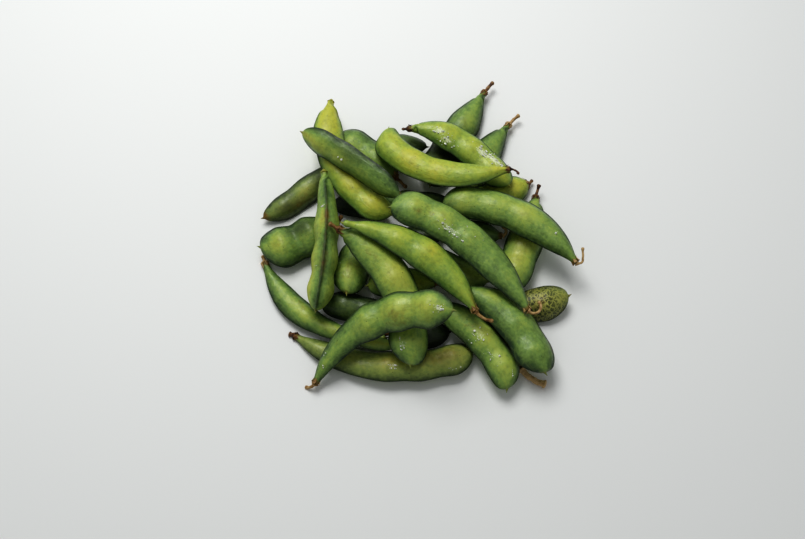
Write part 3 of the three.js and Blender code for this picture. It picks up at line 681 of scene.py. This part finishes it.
def add(tree, kind, settings=None, links=None, output=0):
    """Adds a node and gives back one of its outputs.

    Settings name its properties or inputs, or the stops of its ramp; links feed its inputs."""
    made = tree.nodes.new(kind)
    for name, value in (settings or {}).items():
        if name == "stops":
            ramp = made.color_ramp
            while len(ramp.elements) < len(value):
                ramp.elements.new(1)
            for element, (position, colour) in zip(ramp.elements, value):
                element.position = position
                element.color = linear(colour)
        elif isinstance(name, str) and hasattr(made, name):
            setattr(made, name, value)
        else:
            made.inputs[name].default_value = value
    for name, source in (links or {}).items():
        tree.links.new(source, made.inputs[name])
    return made.outputs[output] if made.outputs else None


def new_material(name):
    material = bpy.data.materials.new(name)
    material.use_nodes = True
    tree = material.node_tree
    tree.nodes.clear()
    return material, tree


MIX_A, MIX_B, MIX_RESULT = 6, 7, 2      # the colour sockets of a Mix node
FALLING = {"To Min": 1.0, "To Max": 0.0}    # a range that runs from 1 down to 0
MATH, RANGE, MIX, NOISE, CELLS, FIELD, BUMP = (
    "ShaderNode" + kind for kind in ("Math", "MapRange", "Mix", "TexNoise", "TexVoronoi", "Attribute", "Bump")
)
SEAM_SHADE_AND_DULL_GREEN = linear("#1a2a10")
VEIN_GREEN = linear("#9fb458")
NET_GREEN = linear("#bcbd66")
BRUISE_BROWN = linear("#74501f")
FRECKLE_BROWN = linear("#3a3014")
MOTTLE_AND_SHADE_DARK = linear("#141c0c")
BRINE_WHITE = linear("#e2e6d0")

# Patterns in the materials, in millimetres. A gap is from the middle of one vein or spot to the next.
VEIN_GAP = 2.2
NET_GAP = 1.5
NET_WANDER = 2.4      # how strongly the net's veins are pushed aside
FRECKLE_GAP = 3.0
STRAND_GAP = 0.4      # real strands are finer: these are drawn coarse enough to show
BLOT_GAP = 1.8

# The noises in a pod's skin, each with its size in millimetres, its detail and its roughness.
# The hairs of real down are finer: they are drawn coarse enough to show.
SKIN_CLOUDS = {
    "ripening": (7.0, 3.0, 0.5),
    "mottling": (1.3, 2.0, 0.55),
    "browning": (1.7, 4.0, 0.65),
    "dulling": (2.2, 4.0, 0.6),
    "brine": (0.7, 3.0, 0.7),
    "damp": (2.4, 2.0, 0.5),
    "down": (0.38, 2.0, 0.5),
}


def pod_skin_material(name, stops):
    """Boiled pod skin: a thin waxy hide, dulled by cooking and still damp with salty water.
    The ramp runs from deep green to straw. Veins stand out a little, and a fine down breaks up the gloss."""
    material, tree = new_material(name)
    lie = add(tree, FIELD, {"attribute_name": "lie"}, output="Vector")
    ripe, seam, border, brown, salt, net, dry, shade = (
        add(tree, FIELD, {"attribute_name": of_pod}, output="Fac")
        for of_pod in ("ripe", "seam", "border", "brown", "salt", "net", "dry", "shade")
    )
    cloud = {
        use: add(tree, NOISE, {"Scale": 1 / size, "Detail": detail, "Roughness": rough}, {"Vector": lie})
        for use, (size, detail, rough) in SKIN_CLOUDS.items()
    }

    # Greener and yellower clouds with mottling in them, and painted shade that darkens the edges along the
    # seams.
    ripe_and_shading = add(tree, MATH, {"operation": "MULTIPLY_ADD", 1: 0.42, 2: -0.46}, {0: cloud["mottling"]})
    ripe_and_shading = add(tree, MATH, {"operation": "MULTIPLY_ADD", 1: 0.5}, {0: cloud["ripening"], 2: ripe_and_shading})
    ripe_and_shading = add(tree, MATH, {"operation": "ADD"}, {0: ripe, 1: ripe_and_shading})
    ripe_and_shading = add(tree, MATH, {"operation": "MULTIPLY_ADD", 1: -0.42}, {0: border, 2: ripe_and_shading})
    colour = add(tree, "ShaderNodeValToRGB", {"stops": stops}, {"Fac": ripe_and_shading})

    # Veins run slantwise from the seams and are drawn out along the pod. Those of a net wander.
    drawn = add(tree, "ShaderNodeMapping", {"Rotation": (0, 0, 0.5), "Scale": (0.4, 1, 1)}, {"Vector": lie})
    veins = add(tree, CELLS, {"feature": "DISTANCE_TO_EDGE", "Scale": 1 / VEIN_GAP}, {"Vector": drawn})
    vein = add(tree, RANGE, {"From Max": 0.17, **FALLING}, {"Value": veins})
    warp = add(tree, NOISE, {"Scale": 1 / NET_GAP, "Detail": 3.0}, {"Vector": lie}, output="Color")
    wander = {"operation": "MULTIPLY_ADD", 1: (NET_WANDER,) * 3}
    warped = add(tree, "ShaderNodeVectorMath", wander, {0: warp, 2: lie})
    meshes = add(tree, CELLS, {"feature": "DISTANCE_TO_EDGE", "Scale": 1 / NET_GAP}, {"Vector": warped})
    net_vein = add(tree, RANGE, {"From Min": 0.02, "From Max": 0.17, **FALLING}, {"Value": meshes})

    # Freckles are about 0.4 mm across, with soft edges.
    spots = add(tree, CELLS, {"Scale": 1 / FRECKLE_GAP}, {"Vector": lie})
    freckle = {"From Min": 0.05, "From Max": 0.1, "To Min": 0.5, "To Max": 0.0}
    freckle = add(tree, RANGE, freckle, {"Value": spots})

    # Bruises break up at their edges, and the skin dries brown at both ends.
    bruise = add(tree, MATH, {"operation": "ADD"}, {0: brown, 1: dry})
    bruise = add(tree, MATH, {"operation": "ADD"}, {0: bruise, 1: cloud["browning"]})
    bruise = add(tree, RANGE, {"From Min": 0.66, "From Max": 1.3, "To Max": 0.85}, {"Value": bruise})
    cooked = {"From Min": 0.46, "From Max": 0.75, "To Max": 0.3}
    cooked = add(tree, RANGE, cooked, {"Value": cloud["dulling"]})

    # Dried brine: a broken white film of specks.
    brine = add(tree, MATH, {"operation": "MULTIPLY_ADD", 1: 0.55}, {0: salt, 2: cloud["brine"]})
    filmed = add(tree, RANGE, {"From Min": 0.76, "From Max": 1.02, "To Max": 0.8}, {"Value": brine})

    # Each of these is laid over the ones before it.
    for amount, tint in (
        (add(tree, MATH, {"operation": "MULTIPLY", 1: 0.14}, {0: vein}), VEIN_GREEN),
        (add(tree, MATH, {"operation": "MULTIPLY", 1: 0.8}, {0: net}), FRECKLE_BROWN),
        (add(tree, MATH, {"operation": "MULTIPLY"}, {0: net, 1: net_vein}), NET_GREEN),
        # Seam lines: partly the seams' own deeper green, partly painted shade along the pod's outline.
        (add(tree, MATH, {"operation": "MULTIPLY", 1: 0.92}, {0: seam}), SEAM_SHADE_AND_DULL_GREEN),
        (freckle, FRECKLE_BROWN),
        (bruise, BRUISE_BROWN),
        (cooked, SEAM_SHADE_AND_DULL_GREEN),
        # Painted shade on pods deep in the heap, with the dark marks: partly dull mottling, partly painted
        # shade.
        (add(tree, MATH, {"operation": "MULTIPLY", "use_clamp": True, 1: 1.0}, {0: shade}), MOTTLE_AND_SHADE_DARK),
        (filmed, BRINE_WHITE),
    ):
        colour = add(tree, MIX, {"data_type": "RGBA", MIX_B: tint}, {0: amount, MIX_A: colour}, MIX_RESULT)

    # Damp places shine and half dry ones don't; brine dulls the skin.
    rough = {"From Min": 0.35, "From Max": 0.65, "To Min": 0.36, "To Max": 0.6}
    rough = add(tree, RANGE, rough, {"Value": cloud["damp"]})
    rough = add(tree, MATH, {"operation": "MULTIPLY_ADD", 1: 0.3}, {0: filmed, 2: rough})

    veins_up = add(tree, BUMP, {"Strength": 0.7, "Distance": 0.055 * MM}, {"Height": vein})
    down = {"Height": cloud["down"], "Normal": veins_up}
    bumped = add(tree, BUMP, {"Strength": 0.8, "Distance": 0.07 * MM}, down)
    shader = add(tree, "ShaderNodeBsdfPrincipled", {
        "IOR": 1.42, "Coat Weight": 0.14, "Coat Roughness": 0.26, "Subsurface Weight": 0.1,
        "Subsurface Radius": (1.0, 1.0, 0.3), "Subsurface Scale": 1.0 * MM,
    }, {"Base Color": colour, "Roughness": rough, "Normal": bumped, "Coat Normal": bumped})
    add(tree, "ShaderNodeOutputMaterial", links={"Surface": shader})
    return material


def withered_stalk_material():
    """Withered stalk and calyx: plant fibre that dried on the plant and then steamed brown.
    It is dull, tan to red brown in blots, with fine strands along it."""
    material, tree = new_material("withered_stalk")
    lie = add(tree, FIELD, {"attribute_name": "lie"}, output="Vector")
    tone = add(tree, FIELD, {"attribute_name": "tone"}, output="Fac")
    drawn = add(tree, "ShaderNodeMapping", {"Scale": (0.25, 1, 1)}, {"Vector": lie})
    strands = add(tree, NOISE, {"Scale": 1 / STRAND_GAP, "Detail": 3.0}, {"Vector": drawn})
    blots = add(tree, NOISE, {"Scale": 1 / BLOT_GAP, "Detail": 2.0}, {"Vector": lie})
    paler = add(tree, MATH, {"operation": "MULTIPLY_ADD", 1: 0.5}, {0: strands, 2: tone})
    blotted = add(tree, MATH, {"operation": "MULTIPLY_ADD", 1: 0.8, 2: -0.15}, {0: blots})
    paler = add(tree, MATH, {"operation": "ADD"}, {0: blotted, 1: paler})
    colour = add(tree, "ShaderNodeValToRGB", {"stops": [
        (0.26, "#2a170c"), (0.38, "#58341a"), (0.5, "#7d5a30"), (0.62, "#98794a"), (0.8, "#bb9f70"),
    ]}, {"Fac": paler})
    bump = add(tree, BUMP, {"Strength": 0.7, "Distance": 0.08 * MM}, {"Height": strands})
    fibre = {"Base Color": colour, "Normal": bump}
    shader = add(tree, "ShaderNodeBsdfPrincipled", {"Roughness": 0.55}, fibre)
    add(tree, "ShaderNodeOutputMaterial", links={"Surface": shader})
    return material


def salt_material():
    """Coarse salt: crystals grown in brine and crushed. They are clear and hard-edged, and look white
    because light scatters in their cracks."""
    material, tree = new_material("coarse_salt")
    shader = add(tree, "ShaderNodeBsdfPrincipled", {
        "Base Color": linear("#f1f2ea"), "Roughness": 0.2, "IOR": 1.54, "Transmission Weight": 0.2,
    })
    add(tree, "ShaderNodeOutputMaterial", links={"Surface": shader})
    return material


def floor_material():
    """Pale card, rolled matt: it takes soft shadows and gives back no shine."""
    material, tree = new_material("matt_pale_card")
    shader = add(tree, "ShaderNodeBsdfPrincipled", {"Base Color": linear("#e4e5e3"), "Roughness": 0.7})
    add(tree, "ShaderNodeOutputMaterial", links={"Surface": shader})
    return material


SKINS = {
    "leaf_green": pod_skin_material("boiled_skin_leaf_green", [
        (0.0, "#2b4226"), (0.25, "#57713f"), (0.5, "#809c53"), (0.75, "#a3b459"), (1.0, "#b2b857")]),
    "yellow_green": pod_skin_material("boiled_skin_yellow_green", [
        (0.0, "#3a542e"), (0.3, "#65843e"), (0.55, "#8da54c"), (0.8, "#abb84e"), (1.0, "#babb4d")]),
    "olive_green": pod_skin_material("boiled_skin_olive_green", [
        (0.0, "#2f3c25"), (0.25, "#556439"), (0.5, "#80904f"), (0.75, "#a1a95a"), (1.0, "#b4ad5a")]),
    "dark_green": pod_skin_material("boiled_skin_dark_green", [
        (0.0, "#263a24"), (0.25, "#4b6538"), (0.5, "#779150"), (0.75, "#98a959"), (1.0, "#adab59")]),
}
STALK = withered_stalk_material()
SALT = salt_material()

# ---------------------------------------------------------------- the pods

for seed, (name, look) in enumerate(PODS.items(), start=1):
    draw = random.Random(seed)
    form = Form(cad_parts[name])
    skin, fields, surface = pod_skin(form, seed, look)
    stalk, stalk_fields = stalk_shell(form, seed, look)
    stalk_material = SKIN if look.green_stalk else WITHERED
    shells = [(*skin, SKIN, fields), (*stalk, stalk_material, stalk_fields)]
    shells += sepal_shells(form, seed, look, draw)
    pod = make_piece(name + "_skin", shells, [SKINS[look.slot], STALK])
    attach(pod, "root")
    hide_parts(name)
    grains = salt_shells(form, surface, look, seed, draw)
    if grains:
        salt = make_piece(name + "_salt", grains, [SALT])
        salt.data.polygons.foreach_set("use_smooth", [False] * len(salt.data.polygons))
        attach(salt, "root")

# ---------------------------------------------------------------- floor, light and camera

FLOOR_SIDE = 4.0    # metres
mesh = bpy.data.meshes.new("floor")
edge = FLOOR_SIDE / 2
mesh.from_pydata([(-edge, -edge, 0), (edge, -edge, 0), (edge, edge, 0), (-edge, edge, 0)], [], [(0, 1, 2, 3)])
mesh.materials.append(floor_material())
floor = bpy.data.objects.new("floor", mesh)
bpy.context.scene.collection.objects.link(floor)


def area_light(name, place, size, power):
    """A soft square light that points at the heap's middle. Place and size are in metres, power in watts."""
    light = bpy.data.lights.new(name, "AREA")
    light.size = size
    light.energy = power
    lamp = bpy.data.objects.new(name, light)
    lamp.location = place
    lamp.rotation_euler = (-Vector(place)).to_track_quat("-Z", "Y").to_euler()
    bpy.context.scene.collection.objects.link(lamp)


area_light("key", place=(-0.12, 0.3, 0.55), size=0.34, power=2.25)
world = bpy.data.worlds.new("soft_room")
world.use_nodes = True
room_light = world.node_tree.nodes["Background"]
room_light.inputs["Color"].default_value = linear("#f4f6f8")
room_light.inputs["Strength"].default_value = 0.3
bpy.context.scene.world = world
bpy.context.scene.view_settings.view_transform = "Standard"
bpy.context.scene.view_settings.look = "High Contrast"

LENS_LENGTH = 38.0
SENSOR_WIDTH = 36.0
CAMERA_DISTANCE = 350 * MM
CAMERA_ELEVATION = math.radians(67)
NEAREST_SEEN = 10 * MM
LOOKED_AT = Vector((-6.5, -18.2, 0)) * MM    # the point of the floor in the middle of the frame

camera = bpy.data.objects.new("camera", bpy.data.cameras.new("camera"))
camera.data.lens = LENS_LENGTH
camera.data.sensor_width = SENSOR_WIDTH
camera.data.clip_start = NEAREST_SEEN
back = Vector((0, -math.cos(CAMERA_ELEVATION), math.sin(CAMERA_ELEVATION)))
camera.location = LOOKED_AT + back * CAMERA_DISTANCE
camera.rotation_euler = (math.pi / 2 - CAMERA_ELEVATION, 0, 0)
bpy.context.scene.collection.objects.link(camera)
bpy.context.scene.camera = camera
